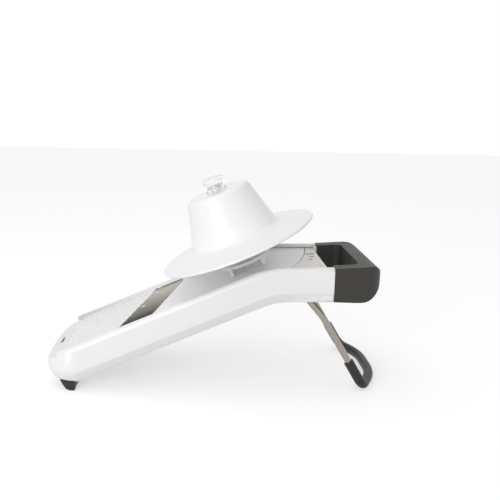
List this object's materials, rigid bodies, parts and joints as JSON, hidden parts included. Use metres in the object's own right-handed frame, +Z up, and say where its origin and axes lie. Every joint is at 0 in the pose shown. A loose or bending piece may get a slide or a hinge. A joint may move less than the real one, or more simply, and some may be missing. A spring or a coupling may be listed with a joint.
{
  "type": "mandoline slicer",
  "caption": "Kitchen mandoline with a sloping deck between two rails, a slanting fixed blade, a tilting runway set by a side knob, a fold-out stand and a spring food holder.",
  "frame": {"origin": "on the table plane, midway along the overall length and midway between the rails", "axes": "+X from the nose to the handle, +Y to the side that carries the knob, +Z up"},
  "size_m": [0.3588, 0.176, 0.2223],
  "materials": {
    "white_plastic": "moulded ABS, soft gloss",
    "black_grip": "soft-touch overmould, matt",
    "black_rubber": "rubber, matt",
    "blade_steel": "ground and brushed",
    "stand_steel": "satin nickel wire",
    "bright_steel": "plated",
    "clear_plastic": "clear polycarbonate"
  },
  "bodies": {
    "body": {"frame": "white_plastic", "deck_plate": "white_plastic", "landing_plate": "white_plastic", "handle_grip": "black_grip", "grip_screw_left": "bright_steel", "grip_screw_right": "bright_steel", "deck_screw_left": "bright_steel", "deck_screw_right": "bright_steel", "front_foot_left": "black_rubber", "front_foot_right": "black_rubber", "runway_pin": "bright_steel"},
    "runway": {"runway": "white_plastic"},
    "blade_unit": {"blade": "blade_steel", "blade_carrier": "white_plastic", "rivet_left": "bright_steel", "rivet_mid": "bright_steel", "rivet_right": "bright_steel"},
    "knob": {"knob": "black_grip", "knob_cap": "bright_steel", "cam_shaft": "bright_steel"},
    "stand": {"stand_wire": "stand_steel", "stand_sleeve": "black_rubber"},
    "plunger": {"plunger_knob": "clear_plastic", "plunger_rod": "white_plastic", "prong_plate": "white_plastic", "prongs": "bright_steel", "plunger_nut": "bright_steel", "plunger_spring": "bright_steel"},
    "holder": {"hat": "white_plastic", "hat_brim": "white_plastic"}
  },
  "joints": [
    {"name": "stand_fold", "type": "hinge", "parent": "body", "child": "stand", "pos_m": [0.08812, 0, 0.108], "axis": [0, 1, 0], "range_deg": [0, 98.4]},
    {"name": "knob_turn", "type": "hinge", "parent": "body", "child": "knob", "pos_m": [0.00574, 0, 0.09135], "axis": [0, 1, 0], "range_deg": [0, 270]},
    {"name": "runway_tilt", "type": "hinge", "parent": "body", "child": "runway", "pos_m": [0.08463, 0, 0.119], "axis": [-0.2947, -0.9556, 0], "range_deg": [0, 3.25]},
    {"name": "blade_slide", "type": "slide", "parent": "body", "child": "blade_unit", "axis": [0.2925, 0.9483, 0.123], "range_m": [0, 0.135]},
    {"name": "holder_travel", "type": "slide", "parent": "body", "child": "plunger", "axis": [-0.9219, 0, -0.3875], "range_m": [-0.01, 0.15]},
    {"name": "brim_drop", "type": "slide", "parent": "plunger", "child": "holder", "axis": [0.3875, 0, -0.9219], "range_m": [0, 0.0225], "stiffness_N_per_m": 150, "springref_m": -0.03, "deforming": ["plunger_spring"]}
  ],
  "couplings": [
    {"joint": "runway_tilt", "follows": "knob_turn", "ratio": 0.012013}
  ]
}
